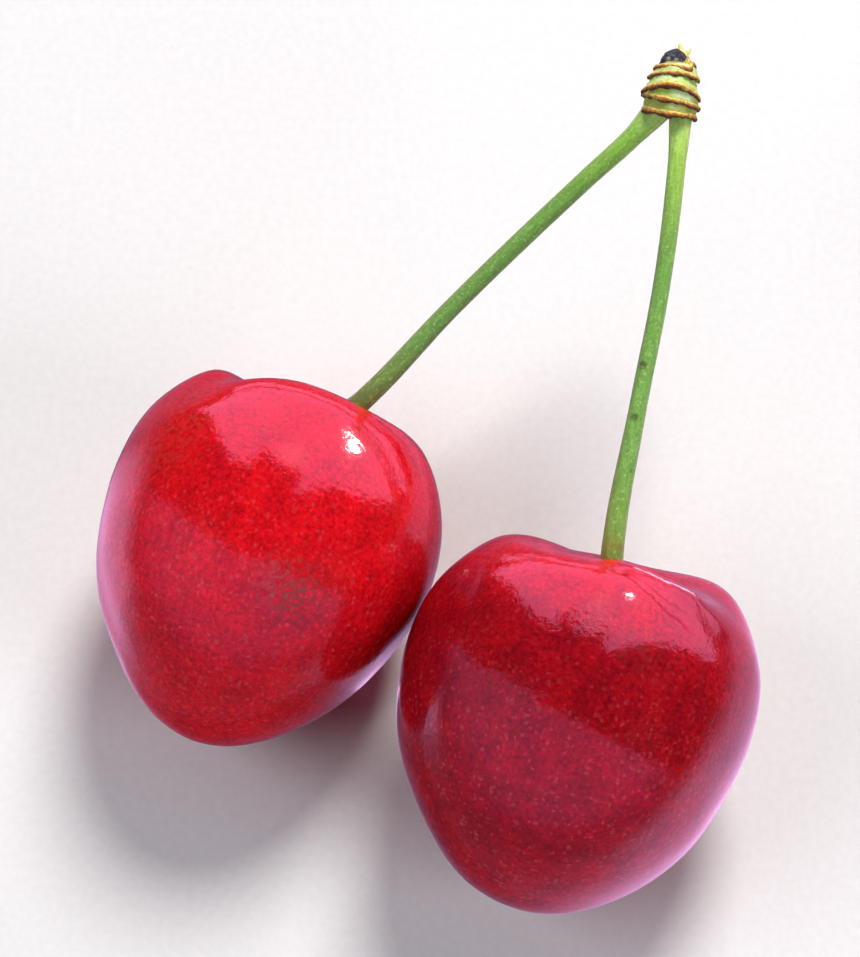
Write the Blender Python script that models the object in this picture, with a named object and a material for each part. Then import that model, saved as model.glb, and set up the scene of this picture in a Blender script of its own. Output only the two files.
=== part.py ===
"""Two sweet cherries on a joined pair of stalks, lying on a level surface.

The stalks meet under one small knob of overlapping bud scales, torn off the
twig.  Everything is in metres with +Z up.  The fruit lie on their sides on the
plane z = 0 and the stalks rise away from them to the knob.
"""
import math

import bmesh
import bpy
from mathutils import Matrix, Vector

MM = 0.001
STILL = 1e-7

# Fruit: half sizes across, front to back, and along the stalk line.
LEFT_HALF_SIZE = (11.55 * MM, 11.2 * MM, 13.3 * MM)
RIGHT_HALF_SIZE = (11.8 * MM, 11.4 * MM, 13.2 * MM)
FRUIT_SEGMENTS = 48
FRUIT_RINGS = 36

# Where each fruit lies: its middle, then the compass heading, the lift and the
# roll of its stalk line, in degrees.
LEFT_MIDDLE = (-10.98 * MM, -3.4 * MM, 10.73 * MM)
LEFT_HEADING, LEFT_LIFT, LEFT_ROLL = -21.2, 10.7, 7.2
RIGHT_MIDDLE = (9.74 * MM, -15.43 * MM, 11.14 * MM)
RIGHT_HEADING, RIGHT_LIFT, RIGHT_ROLL = -17.9, 23.1, 6.1

# Swellings (+) and flats (-): longitude, latitude, push and reach.
LEFT_SWELLINGS = (
    (0, 30, 0.4 * MM, 11 * MM),
    (180, 30, 0.9 * MM, 11 * MM),
    (0, -30, -0.5 * MM, 11 * MM),
    (180, -45, -0.15 * MM, 7 * MM),
    (90, -15, -0.6 * MM, 8 * MM),
)
RIGHT_SWELLINGS = (
    (0, 30, 1.2 * MM, 11 * MM),
    (180, 30, 0.75 * MM, 11 * MM),
    (180, -30, -0.25 * MM, 11 * MM),
    (180, -45, -0.4 * MM, 7 * MM),
    (90, -30, -0.6 * MM, 8 * MM),
)

# The blossom end: how far the tip of the fruit is drawn sideways and down.
LEFT_TIP_PULL = (-0.2 * MM, 0.0, -0.8 * MM)
RIGHT_TIP_PULL = (0.3 * MM, 0.0, -0.4 * MM)
TIP_REACH = 9 * MM

# The hollow at the stalk: a wide dish with a narrow pit in the middle of it.
DISH_DEPTH, DISH_REACH = 2.6 * MM, 9 * MM
PIT_DEPTH, PIT_REACH = 1.6 * MM, 4 * MM
LEFT_HOLLOW_SHIFT = 0.0
RIGHT_HOLLOW_SHIFT = 0.6 * MM

# The seam runs out of the hollow down one side and fades: each stroke reaches
# from the stalk end to a latitude and presses the skin in by a depth.
LEFT_SEAM_STROKES = ((65, 0.5 * MM), (55, 0.4 * MM), (40, 0.35 * MM))
RIGHT_SEAM_STROKES = ((75, 0.5 * MM), (65, 0.45 * MM), (55, 0.35 * MM))
SEAM_REACH = 3.6 * MM
SEAM_MIDDLE_LATITUDE = 40
LEFT_SEAM_LONGITUDE = 210
RIGHT_SEAM_LONGITUDE = 345

# Round the hollow: a dip next to the left one, a full lobe behind the right one,
# and a raised rim in front of both.
LEFT_LOBES = ((180, 65, -0.7 * MM, 3.5 * MM), (270, 65, 0.3 * MM, 5.5 * MM))
RIGHT_LOBES = (
    (30, 45, 0.9 * MM, 6 * MM),
    (135, 60, -0.4 * MM, 5 * MM),
    (270, 65, 0.45 * MM, 5.5 * MM),
)

# Knob: its foot, the direction it points, and its radius at heights above the foot.
KNOB_FOOT = (16.69 * MM, 23.84 * MM, 23.29 * MM)
KNOB_HEADING, KNOB_LIFT = -9.3, 28.8
KNOB_OUTLINE = (
    (-0.4 * MM, 1.88 * MM),
    (0.5 * MM, 1.92 * MM),
    (1.0 * MM, 1.96 * MM),
    (1.5 * MM, 1.90 * MM),
    (2.0 * MM, 1.80 * MM),
    (2.5 * MM, 1.66 * MM),
    (3.0 * MM, 1.48 * MM),
    (3.4 * MM, 1.26 * MM),
    (3.8 * MM, 1.00 * MM),
)

# Bud scales from the foot up: height of the lower rim at the side, how much
# higher it sits on the left, and how far its front arches up.
SCALE_RIMS = (
    (0.00 * MM, 0.00 * MM, 0.05 * MM),
    (0.79 * MM, 0.17 * MM, 0.15 * MM),
    (1.27 * MM, 0.03 * MM, 0.93 * MM),
    (2.32 * MM, -0.11 * MM, 0.58 * MM),
    (2.76 * MM, -0.02 * MM, 0.45 * MM),
)
SCALE_TOP_RIM = (3.34 * MM, 0.00 * MM, 0.10 * MM)
SCALE_OVERLAP = 0.16 * MM
SCALE_THICK = 0.13 * MM
SCALE_LIP = 0.06 * MM
SCALE_TUCK = SCALE_THICK + SCALE_LIP + 0.12 * MM
SCALE_STEPS = 36

# Core of the knob, and the withered bud on its end.
CORE_FOOT_HEIGHT, CORE_FOOT_RADIUS = 0.6 * MM, 1.15 * MM
CORE_TOP_HEIGHT, CORE_TOP_RADIUS = 3.35 * MM, 0.5 * MM
CORE_SIDES = 24
TIP_BASE_HEIGHT, TIP_RADIUS, TIP_HEIGHT = 3.70 * MM, 0.90 * MM, 0.62 * MM
TIP_CUT = -0.25
FIBRE_PLACE = (0.35 * MM, 0.74 * MM, 4.62 * MM)
FIBRE_SIZE = (0.55 * MM, 0.20 * MM, 0.62 * MM)
FIBRE_LEAN = 14

# Stalks: points between the hollow and the knob, and the half thickness at
# every point from the fruit to the knob.
LEFT_STALK_WAY = (
    (-4.3 * MM, 6.75 * MM, 13.3 * MM),
    (1.95 * MM, 12.5 * MM, 16.4 * MM),
    (10.9 * MM, 19.9 * MM, 20.9 * MM),
    (14.25 * MM, 22.55 * MM, 22.5 * MM),
)
LEFT_STALK_RADII = (0.78 * MM, 0.74 * MM, 0.64 * MM, 0.65 * MM, 0.68 * MM, 0.72 * MM)
RIGHT_STALK_WAY = (
    (12.65 * MM, -5.25 * MM, 15.75 * MM),
    (14.35 * MM, 3.8 * MM, 18.95 * MM),
    (16.1 * MM, 12.4 * MM, 21.1 * MM),
    (17.2 * MM, 20.6 * MM, 22.8 * MM),
)
RIGHT_STALK_RADII = (0.84 * MM, 0.77 * MM, 0.61 * MM, 0.59 * MM, 0.63 * MM, 0.62 * MM)
STALK_TOP_HEIGHT = 0.28 * MM
LEFT_STALK_TOP, RIGHT_STALK_TOP = -0.72 * MM, 0.76 * MM
STALK_FOOT_LIFT = 1.1 * MM
STALK_RESOLUTION = 6
STALK_BEVEL_RESOLUTION = 2


def clear_scene():
    for thing in list(bpy.data.objects):
        bpy.data.objects.remove(thing, do_unlink=True)


def make_material(name, colour, roughness):
    material = bpy.data.materials.new(name)
    material.use_nodes = True
    shader = material.node_tree.nodes["Principled BSDF"]
    shader.inputs["Base Color"].default_value = (*colour, 1.0)
    shader.inputs["Roughness"].default_value = roughness
    shader.inputs["Metallic"].default_value = 0.0
    return material


def direction(longitude, latitude):
    """Unit vector from degrees around and above the fruit's waist."""
    around = math.radians(longitude)
    above = math.radians(latitude)
    level = math.cos(above)
    return Vector((level * math.cos(around), level * math.sin(around), math.sin(above)))


def turned(heading, lift, roll=0.0):
    """Turn whose own Z points along a compass heading, raised by the lift."""
    return (
        Matrix.Rotation(math.radians(heading), 4, "Z")
        @ Matrix.Rotation(math.radians(lift - 90.0), 4, "X")
        @ Matrix.Rotation(math.radians(roll), 4, "Z")
    )


def finish(piece, material, parts):
    """Give a piece its finish, smooth shading and place in the collection."""
    piece.data.materials.clear()
    piece.data.materials.append(material)
    for polygon in piece.data.polygons:
        polygon.use_smooth = True
    for holder in list(piece.users_collection):
        holder.objects.unlink(piece)
    parts.objects.link(piece)


def pull(points, picked, shift, reach):
    """Drag the picked points and, ever more softly, all within reach."""
    anchors = [points[index].copy() for index in picked]
    for point in points:
        distance = min((point - anchor).length for anchor in anchors)
        if distance < reach:
            near = 1.0 - distance / reach
            point += shift * (3.0 * near ** 2 - 2.0 * near ** 3)


def make_fruit(name, half_size, swellings, tip_pull, hollow_shift, seam, lobes):
    """Heart-shaped fruit about its own middle, stalk end along +Z."""
    bpy.ops.mesh.primitive_uv_sphere_add(
        segments=FRUIT_SEGMENTS, ring_count=FRUIT_RINGS, radius=1.0
    )
    fruit = bpy.context.object
    fruit.name = name
    fruit.data.name = name
    spots = [vertex.co.normalized() for vertex in fruit.data.vertices]
    points = [Vector(a * b for a, b in zip(spot, half_size)) for spot in spots]

    def nearest(longitude, latitude):
        aim = direction(longitude, latitude)
        return max(range(len(spots)), key=lambda index: spots[index].dot(aim))

    for longitude, latitude, push, reach in swellings:
        shift = direction(longitude, latitude) * push
        pull(points, [nearest(longitude, latitude)], shift, reach)
    pull(points, [nearest(0, -90)], Vector(tip_pull), TIP_REACH)
    stalk_end = nearest(0, 90)
    pull(points, [stalk_end], Vector((hollow_shift, 0.0, -DISH_DEPTH)), DISH_REACH)
    pull(points, [stalk_end], Vector((hollow_shift, 0.0, -PIT_DEPTH)), PIT_REACH)
    ring_step = 180 // FRUIT_RINGS
    seam_longitude, seam_strokes = seam
    inward = -direction(seam_longitude, SEAM_MIDDLE_LATITUDE)
    for lowest, depth in seam_strokes:
        line = [nearest(seam_longitude, latitude) for latitude in range(lowest, 91, ring_step)]
        pull(points, line, inward * depth, SEAM_REACH)
    for longitude, latitude, push, reach in lobes:
        shift = direction(longitude, latitude) * push
        pull(points, [nearest(longitude, latitude)], shift, reach)
    for vertex, point in zip(fruit.data.vertices, points):
        vertex.co = point
    return fruit, points[stalk_end].copy()


def lay_down(fruit, middle, turn):
    """Place a fruit and press its underside flat where it meets z = 0."""
    fruit.matrix_world = Matrix.Translation(middle) @ turn
    place = fruit.matrix_world.copy()
    shape = bmesh.new()
    shape.from_mesh(fruit.data)
    everything = shape.verts[:] + shape.edges[:] + shape.faces[:]
    cut = bmesh.ops.bisect_plane(
        shape,
        geom=everything,
        dist=STILL,
        plane_co=place.inverted() @ Vector((0.0, 0.0, 0.0)),
        plane_no=place.to_3x3().inverted() @ Vector((0.0, 0.0, -1.0)),
        clear_outer=True,
    )
    rim = [item for item in cut["geom_cut"] if isinstance(item, bmesh.types.BMEdge)]
    bmesh.ops.edgeloop_fill(shape, edges=rim)
    bmesh.ops.recalc_face_normals(shape, faces=shape.faces)
    shape.to_mesh(fruit.data)
    shape.free()
    fruit.data.update()


def make_stalk(name, way, radii):
    """Round stalk through a list of points, closed at both ends."""
    curve = bpy.data.curves.new(name, "CURVE")
    curve.dimensions = "3D"
    curve.resolution_u = STALK_RESOLUTION
    curve.bevel_depth = 1.0
    curve.bevel_resolution = STALK_BEVEL_RESOLUTION
    curve.use_fill_caps = True
    line = curve.splines.new("BEZIER")
    line.bezier_points.add(len(way) - 1)
    origin = Vector(way[0])
    for point, place, radius in zip(line.bezier_points, way, radii):
        point.co = Vector(place) - origin
        point.radius = radius
        point.handle_left_type = "AUTO"
        point.handle_right_type = "AUTO"
    stalk = bpy.data.objects.new(name, curve)
    stalk.location = origin
    return stalk


def knob_radius(height):
    """Outer radius of the knob at a height above its foot."""
    if height <= KNOB_OUTLINE[0][0]:
        return KNOB_OUTLINE[0][1]
    for (low, low_radius), (high, high_radius) in zip(KNOB_OUTLINE, KNOB_OUTLINE[1:]):
        if height <= high:
            share = (height - low) / (high - low)
            return low_radius + share * (high_radius - low_radius)
    return KNOB_OUTLINE[-1][1]


def rim_height(rim, around):
    """Height of a scale's rim at an angle round the knob; the front is -Y."""
    side, left_rise, front_arch = rim
    frontness = (1.0 - math.sin(around)) / 2.0
    return side - left_rise * math.cos(around) + front_arch * (frontness ** 2 - 0.25)


def make_scale(name, rim, rim_above):
    """Collar between its own wavy rim and a hidden edge under the next one."""
    showing = (
        (0.02, SCALE_LIP * 0.2),
        (0.00, SCALE_LIP * 0.8),
        (0.06, SCALE_LIP),
        (0.35, 0.0),
        (0.75, -SCALE_TUCK * 0.3),
        (1.00, -SCALE_TUCK),
    )
    shape = bmesh.new()
    columns = []
    for step in range(SCALE_STEPS):
        around = 2.0 * math.pi * step / SCALE_STEPS
        low = rim_height(rim, around)
        high = rim_height(rim_above, around)
        outside = [(low + share * (high - low), offset) for share, offset in showing]
        outside.append((high + SCALE_OVERLAP, -SCALE_TUCK * 1.1))
        inside = [(height, offset - SCALE_THICK) for height, offset in reversed(outside[3:])]
        inside.append((low, -SCALE_THICK))
        column = []
        for height, offset in outside + inside:
            radius = knob_radius(height) + offset
            corner = (radius * math.cos(around), radius * math.sin(around), height)
            column.append(shape.verts.new(corner))
        columns.append(column)
    count = len(columns[0])
    for step in range(SCALE_STEPS):
        here = columns[step]
        there = columns[(step + 1) % SCALE_STEPS]
        for row in range(count):
            after = (row + 1) % count
            shape.faces.new((here[row], there[row], there[after], here[after]))
    bmesh.ops.recalc_face_normals(shape, faces=shape.faces)
    mesh = bpy.data.meshes.new(name)
    shape.to_mesh(mesh)
    shape.free()
    return bpy.data.objects.new(name, mesh)


def make_core(name):
    """Tapered green core inside the scales."""
    bpy.ops.mesh.primitive_cone_add(
        vertices=CORE_SIDES,
        radius1=CORE_FOOT_RADIUS,
        radius2=CORE_TOP_RADIUS,
        depth=CORE_TOP_HEIGHT - CORE_FOOT_HEIGHT,
        location=(0.0, 0.0, (CORE_FOOT_HEIGHT + CORE_TOP_HEIGHT) / 2.0),
    )
    core = bpy.context.object
    core.name = name
    core.data.transform(core.matrix_world)
    core.matrix_world = Matrix.Identity(4)
    return core


def make_withered_tip(name):
    """Shrunken bud: a low dome with a flat underside."""
    bpy.ops.mesh.primitive_uv_sphere_add(segments=24, ring_count=12, radius=1.0)
    tip = bpy.context.object
    tip.name = name
    shape = bmesh.new()
    shape.from_mesh(tip.data)
    everything = shape.verts[:] + shape.edges[:] + shape.faces[:]
    cut = bmesh.ops.bisect_plane(
        shape, geom=everything, plane_co=(0, 0, TIP_CUT), plane_no=(0, 0, -1), clear_outer=True
    )
    rim = [item for item in cut["geom_cut"] if isinstance(item, bmesh.types.BMEdge)]
    bmesh.ops.edgeloop_fill(shape, edges=rim)
    bmesh.ops.recalc_face_normals(shape, faces=shape.faces)
    shape.to_mesh(tip.data)
    shape.free()
    size = Matrix.Diagonal((TIP_RADIUS, TIP_RADIUS, TIP_HEIGHT, 1.0))
    tip.data.transform(Matrix.Translation((0.0, 0.0, TIP_BASE_HEIGHT - TIP_CUT * TIP_HEIGHT)) @ size)
    return tip


def make_fibre(name):
    """Torn strand of bark standing on the end of the knob."""
    bpy.ops.mesh.primitive_cone_add(vertices=8, radius1=0.5, radius2=0.18, depth=1.0)
    fibre = bpy.context.object
    fibre.name = name
    fibre.data.transform(Matrix.Diagonal((*FIBRE_SIZE, 1.0)))
    lean = Matrix.Rotation(math.radians(FIBRE_LEAN), 4, "Y")
    fibre.data.transform(Matrix.Translation(FIBRE_PLACE) @ lean)
    return fibre


clear_scene()
parts = bpy.data.collections.new("cherry_pair")
bpy.context.scene.collection.children.link(parts)

skin_left = make_material("left_cherry_skin", (0.60, 0.012, 0.045), 0.22)
skin_right = make_material("right_cherry_skin", (0.52, 0.008, 0.040), 0.22)
stalk_left_green = make_material("left_stalk_green", (0.19, 0.35, 0.06), 0.55)
stalk_right_green = make_material("right_stalk_green", (0.22, 0.40, 0.07), 0.55)
core_green = make_material("spur_green", (0.34, 0.42, 0.10), 0.7)
tip_black = make_material("withered_black", (0.03, 0.04, 0.045), 0.85)
fibre_yellow = make_material("fibre_yellow", (0.80, 0.62, 0.12), 0.8)

left_turn = turned(LEFT_HEADING, LEFT_LIFT, LEFT_ROLL)
right_turn = turned(RIGHT_HEADING, RIGHT_LIFT, RIGHT_ROLL)
left_cherry, left_pit = make_fruit(
    "left_cherry", LEFT_HALF_SIZE, LEFT_SWELLINGS, LEFT_TIP_PULL,
    LEFT_HOLLOW_SHIFT, (LEFT_SEAM_LONGITUDE, LEFT_SEAM_STROKES), LEFT_LOBES,
)
right_cherry, right_pit = make_fruit(
    "right_cherry", RIGHT_HALF_SIZE, RIGHT_SWELLINGS, RIGHT_TIP_PULL,
    RIGHT_HOLLOW_SHIFT, (RIGHT_SEAM_LONGITUDE, RIGHT_SEAM_STROKES), RIGHT_LOBES,
)
lay_down(left_cherry, LEFT_MIDDLE, left_turn)
lay_down(right_cherry, RIGHT_MIDDLE, right_turn)
finish(left_cherry, skin_left, parts)
finish(right_cherry, skin_right, parts)

knob_place = Matrix.Translation(KNOB_FOOT) @ turned(KNOB_HEADING, KNOB_LIFT)


def stalk_way(fruit, pit, way, top_offset):
    """All points of a stalk, from just above the pit to inside the knob."""
    foot = fruit.matrix_world @ (pit + Vector((0.0, 0.0, STALK_FOOT_LIFT)))
    top = knob_place @ Vector((top_offset, 0.0, STALK_TOP_HEIGHT))
    return [foot, *way, top]


left_way = stalk_way(left_cherry, left_pit, LEFT_STALK_WAY, LEFT_STALK_TOP)
right_way = stalk_way(right_cherry, right_pit, RIGHT_STALK_WAY, RIGHT_STALK_TOP)
finish_list = (
    (make_stalk("left_stalk", left_way, LEFT_STALK_RADII), stalk_left_green),
    (make_stalk("right_stalk", right_way, RIGHT_STALK_RADII), stalk_right_green),
)
for stalk, green in finish_list:
    stalk.data.materials.append(green)
    parts.objects.link(stalk)

core = make_core("spur_core")
core.matrix_world = knob_place
finish(core, core_green, parts)

rims = (*SCALE_RIMS, SCALE_TOP_RIM)
for number, (rim, rim_above) in enumerate(zip(rims, rims[1:]), start=1):
    scale = make_scale(f"bud_scale_{number}", rim, rim_above)
    scale_green = make_material(f"bud_scale_{number}_finish", (0.45, 0.40, 0.13), 0.75)
    scale.matrix_world = knob_place
    finish(scale, scale_green, parts)

tip = make_withered_tip("withered_tip")
tip.matrix_world = knob_place
finish(tip, tip_black, parts)

fibre = make_fibre("torn_fibre")
fibre.matrix_world = knob_place
finish(fibre, fibre_yellow, parts)
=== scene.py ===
# %% [markdown]
# # Two cherries on joined stalks
#
# This notebook dresses a packed model of two sweet cherries that hang from one
# knob of bud scales.  The packed model is the frame: it holds the true sizes,
# and every piece made here lies where the frame has it.  The fruit lie on
# their sides and the stalks rise away from the surface.

# %% Load the frame
import math

import bpy
from mathutils import Matrix, Vector


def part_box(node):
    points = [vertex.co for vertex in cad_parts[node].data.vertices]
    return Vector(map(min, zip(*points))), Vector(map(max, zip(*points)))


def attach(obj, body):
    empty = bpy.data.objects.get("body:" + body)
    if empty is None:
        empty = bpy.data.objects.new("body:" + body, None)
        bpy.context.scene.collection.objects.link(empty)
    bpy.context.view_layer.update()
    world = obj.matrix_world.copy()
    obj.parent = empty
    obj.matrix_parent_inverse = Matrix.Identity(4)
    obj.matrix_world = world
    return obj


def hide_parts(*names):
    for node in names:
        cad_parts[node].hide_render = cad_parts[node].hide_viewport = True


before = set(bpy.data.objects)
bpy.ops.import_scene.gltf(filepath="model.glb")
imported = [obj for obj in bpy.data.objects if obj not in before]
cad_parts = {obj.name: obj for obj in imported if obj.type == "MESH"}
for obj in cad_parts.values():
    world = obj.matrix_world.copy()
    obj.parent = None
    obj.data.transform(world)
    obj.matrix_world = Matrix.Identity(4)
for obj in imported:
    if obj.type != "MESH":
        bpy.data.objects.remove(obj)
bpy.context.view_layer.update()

MM = 0.001

# %% [markdown]
# ## Camera
#
# A camera sees along its own -Z.  This one stands 220 mm from the middle of
# the pair and looks down at 70 degrees, so the fruit are seen from above and a
# little from the front.  The field of view is set from the height of the strip
# that should fill the frame, which is easier to reason about than a lens.

# %% Place the camera
VIEW_MIDDLE = Vector((0.32, 0.40, 14.72)) * MM
VIEW_ELEVATION = math.radians(70)
VIEW_DISTANCE = 220 * MM
VIEW_STRIP = 65.55 * MM

view_right = Vector((1.0, 0.0, 0.0))
view_up = Vector((0.0, math.sin(VIEW_ELEVATION), math.cos(VIEW_ELEVATION)))
view_back = Vector((0.0, -math.cos(VIEW_ELEVATION), math.sin(VIEW_ELEVATION)))
view_turn = Matrix((view_right, view_up, view_back)).transposed().to_4x4()

camera_data = bpy.data.cameras.new("camera")
camera_data.sensor_fit = "VERTICAL"
camera_data.sensor_height = 24
camera_data.angle_y = 2 * math.atan(VIEW_STRIP / 2 / VIEW_DISTANCE)
camera_data.clip_start = 1 * MM
camera = bpy.data.objects.new("camera", camera_data)
bpy.context.scene.collection.objects.link(camera)
camera.matrix_world = Matrix.Translation(VIEW_MIDDLE + view_back * VIEW_DISTANCE) @ view_turn
bpy.context.scene.camera = camera
bpy.context.scene.view_settings.view_transform = "Standard"
print("camera lens", round(camera_data.lens, 1), "mm")

# %% [markdown]
# ## Selecting
#
# Operators act on whatever is selected, and the packed model comes in all
# selected, so each step starts by deselecting everything.  The helpers below
# do that, make one piece the active one, and open and close it for editing.

# %% Helpers for selecting
def deselect_all():
    if bpy.context.mode != "OBJECT":
        bpy.ops.object.mode_set(mode="OBJECT")
    bpy.ops.object.select_all(action="DESELECT")


def make_active(piece):
    deselect_all()
    piece.select_set(True)
    bpy.context.view_layer.objects.active = piece


def edit_all():
    """Open the active piece for editing, with all of its mesh selected."""
    bpy.ops.object.mode_set(mode="EDIT")
    bpy.ops.mesh.select_all(action="SELECT")


def stop_editing():
    bpy.ops.object.mode_set(mode="OBJECT")


deselect_all()
print("pieces selected now:", len(bpy.context.selected_objects))

# %% [markdown]
# ## Node helpers
#
# A material is a tree of nodes, and most lines that build one only add a node,
# set its sockets and join it to the last.  The class below gives each of those
# a short word, so that a finish further down reads like a recipe: a noise, a
# ramp of colours, a mix, a bump.

# %% Helpers for nodes
class Finish:
    """A material and short words for adding nodes to it."""

    def __init__(self, name):
        self.material = bpy.data.materials.new(name)
        self.material.use_nodes = True
        self.tree = self.material.node_tree
        self.shader = self.tree.nodes["Principled BSDF"]
        self.place = self.node("ShaderNodeTexCoord").outputs["Object"]

    def node(self, kind, **settings):
        made = self.tree.nodes.new(kind)
        for key, value in settings.items():
            setattr(made, key, value)
        return made

    def join(self, source, target):
        self.tree.links.new(source, target)

    def put(self, value, socket):
        """Set a socket to a plain value, or join another socket to it."""
        if isinstance(value, bpy.types.NodeSocket):
            self.join(value, socket)
        else:
            socket.default_value = value

    def drawn_out(self, share, vector):
        """Coordinates that draw a pattern out along Z, because they grow there by a share only."""
        made = self.node("ShaderNodeMapping")
        self.join(vector, made.inputs["Vector"])
        made.inputs["Scale"].default_value = (1, 1, share)
        return made.outputs["Vector"]

    def noise(self, size, detail=3.0, roughness=0.55, vector=None):
        """Cloudy noise whose blobs are about one size across."""
        made = self.node("ShaderNodeTexNoise")
        self.join(vector or self.place, made.inputs["Vector"])
        made.inputs["Scale"].default_value = 1.0 / size
        made.inputs["Detail"].default_value = detail
        made.inputs["Roughness"].default_value = roughness
        return made.outputs["Fac"]

    def cells(self, size, vector):
        """Scattered cells: the distance to each middle, and its own colour."""
        made = self.node("ShaderNodeTexVoronoi")
        self.join(vector, made.inputs["Vector"])
        made.inputs["Scale"].default_value = 1.0 / size
        return made.outputs["Distance"], made.outputs["Color"]

    def ramp(self, value, *stops, ease="LINEAR"):
        """Colours or greys at given places; a grey stop is one number."""
        made = self.node("ShaderNodeValToRGB")
        self.join(value, made.inputs["Fac"])
        made.color_ramp.interpolation = ease
        stones = made.color_ramp.elements
        while len(stones) < len(stops):
            stones.new(0.5)
        for stone, (place, colour) in zip(stones, stops):
            stone.position = place
            grey = isinstance(colour, (int, float))
            stone.color = (colour, colour, colour, 1.0) if grey else (*colour, 1.0)
        return made.outputs["Color"]

    def mix(self, amount, first, second, how="MIX"):
        made = self.node("ShaderNodeMix", data_type="RGBA", blend_type=how)
        self.put(amount, made.inputs["Factor"])
        colours = [socket for socket in made.inputs if socket.type == "RGBA"]
        for value, socket in zip((first, second), colours):
            if isinstance(value, tuple):
                value = (*value, 1.0)
            self.put(value, socket)
        return [socket for socket in made.outputs if socket.type == "RGBA"][0]

    def maths(self, how, first, second=0.0, third=0.0):
        made = self.node("ShaderNodeMath", operation=how)
        for value, socket in zip((first, second, third), made.inputs):
            self.put(value, socket)
        return made.outputs["Value"]

    def distance(self, point):
        """How far the surface is from a fixed point."""
        made = self.node("ShaderNodeVectorMath", operation="DISTANCE")
        self.join(self.place, made.inputs[0])
        made.inputs[1].default_value = point
        return made.outputs["Value"]

    def wobbled(self, size, amount, vector):
        """Coordinates pushed about a little, so that round cells lose their roundness."""
        cloud = self.node("ShaderNodeTexNoise")
        self.join(vector, cloud.inputs["Vector"])
        cloud.inputs["Scale"].default_value = 1.0 / size
        push = self.node("ShaderNodeVectorMath", operation="MULTIPLY_ADD")
        self.join(cloud.outputs["Color"], push.inputs[0])
        push.inputs[1].default_value = (amount, amount, amount)
        self.join(vector, push.inputs[2])
        return push.outputs["Vector"]

    def span(self, value, low, high, start=0.0, end=1.0):
        """Carry what lies between low and high over to start and end, smoothly and no further."""
        made = self.node("ShaderNodeMapRange", interpolation_type="SMOOTHSTEP")
        self.put(value, made.inputs["Value"])
        made.inputs["From Min"].default_value = low
        made.inputs["From Max"].default_value = high
        made.inputs["To Min"].default_value = start
        made.inputs["To Max"].default_value = end
        return made.outputs["Result"]

    def bump(self, height, depth, strength=1.0, after=None):
        made = self.node("ShaderNodeBump")
        self.join(height, made.inputs["Height"])
        made.inputs["Distance"].default_value = depth
        made.inputs["Strength"].default_value = strength
        if after is not None:
            self.join(after, made.inputs["Normal"])
        return made.outputs["Normal"]

    def split(self, vector):
        """The X, Y and Z of a vector, as three sockets."""
        made = self.node("ShaderNodeSeparateXYZ")
        self.join(vector, made.inputs[0])
        return made.outputs["X"], made.outputs["Y"], made.outputs["Z"]

    def turn_share(self, across, ahead):
        """Share of a full turn round Z: 0 at -180 degrees from +X, 1 at +180."""
        return self.maths("MULTIPLY_ADD", self.maths("ARCTAN2", ahead, across), 0.5 / math.pi, 0.5)

    def own_frame(self, location, rotation):
        """Coordinates that a piece had before it was turned and moved to its place."""
        made = self.node("ShaderNodeMapping", vector_type="TEXTURE")
        self.join(self.place, made.inputs["Vector"])
        made.inputs["Location"].default_value = location
        made.inputs["Rotation"].default_value = rotation
        return made.outputs["Vector"]

    def wear(self, **values):
        """Join or set the shader's sockets; underscores stand for the spaces in a name."""
        for name, value in values.items():
            self.put(value, self.shader.inputs[name.replace("_", " ")])


def turn_stops(stops, top=1.0):
    """Ramp stops from (degrees, tone); a ramp holds tones up to 1, so they are divided by top."""
    return [((degrees + 180) / 360, tone / top) for degrees, tone in stops]


print("words for nodes:", ", ".join(word for word in vars(Finish) if not word.startswith("_")))

# %% [markdown]
# ## Floor
#
# The pair lies on a plain pale surface.  A faint speckle and a little roughness keep it from looking like
# an empty void.

# %% Make the floor
FLOOR_SIZE = 3.0
FLOOR_DROP = 0.08 * MM

deselect_all()
bpy.ops.mesh.primitive_plane_add(size=FLOOR_SIZE, location=(0, 0, -FLOOR_DROP))
floor = bpy.context.object
floor.name = "floor"
paper = Finish("pale_paper")
speckle = paper.noise(0.6 * MM, 4)
paper_tone = paper.ramp(speckle, (0.3, (0.66, 0.66, 0.67)), (0.7, (0.70, 0.70, 0.71)))
paper.wear(Base_Color=paper_tone, Roughness=0.8, Specular_IOR_Level=0.2)
floor.data.materials.append(paper.material)
print("floor", FLOOR_SIZE, "m across")

# %% [markdown]
# ## Lamps
#
# Glossy fruit shows its surroundings, so the light that falls on the pair and
# the light that its skin mirrors are planned apart.  Three soft lamps, a key
# from behind and a fill on either side, light the pair and the surface, and
# are hidden from mirror rays.  Two small lamps are left in sight of the skin:
# each is one fruit's glint.

# %% Light the pair
WORLD_COLOUR = (0.62, 0.62, 0.78, 1.0)
WORLD_STRENGTH = 0.06
LAMP_DISTANCE = 700 * MM
GLINT_DISTANCE = 280 * MM
COOL_WHITE = (0.93, 0.95, 1.0)
WARM_WHITE = (1.0, 0.96, 0.92)

world = bpy.data.worlds.new("studio")
bpy.context.scene.world = world
world.use_nodes = True
world.node_tree.nodes["Background"].inputs["Color"].default_value = WORLD_COLOUR
world.node_tree.nodes["Background"].inputs["Strength"].default_value = WORLD_STRENGTH


def compass(azimuth, elevation):
    """Direction from degrees round from +X and above the level."""
    around = math.radians(azimuth)
    above = math.radians(elevation)
    level = math.cos(above)
    return Vector((level * math.cos(around), level * math.sin(around), math.sin(above)))


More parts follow.
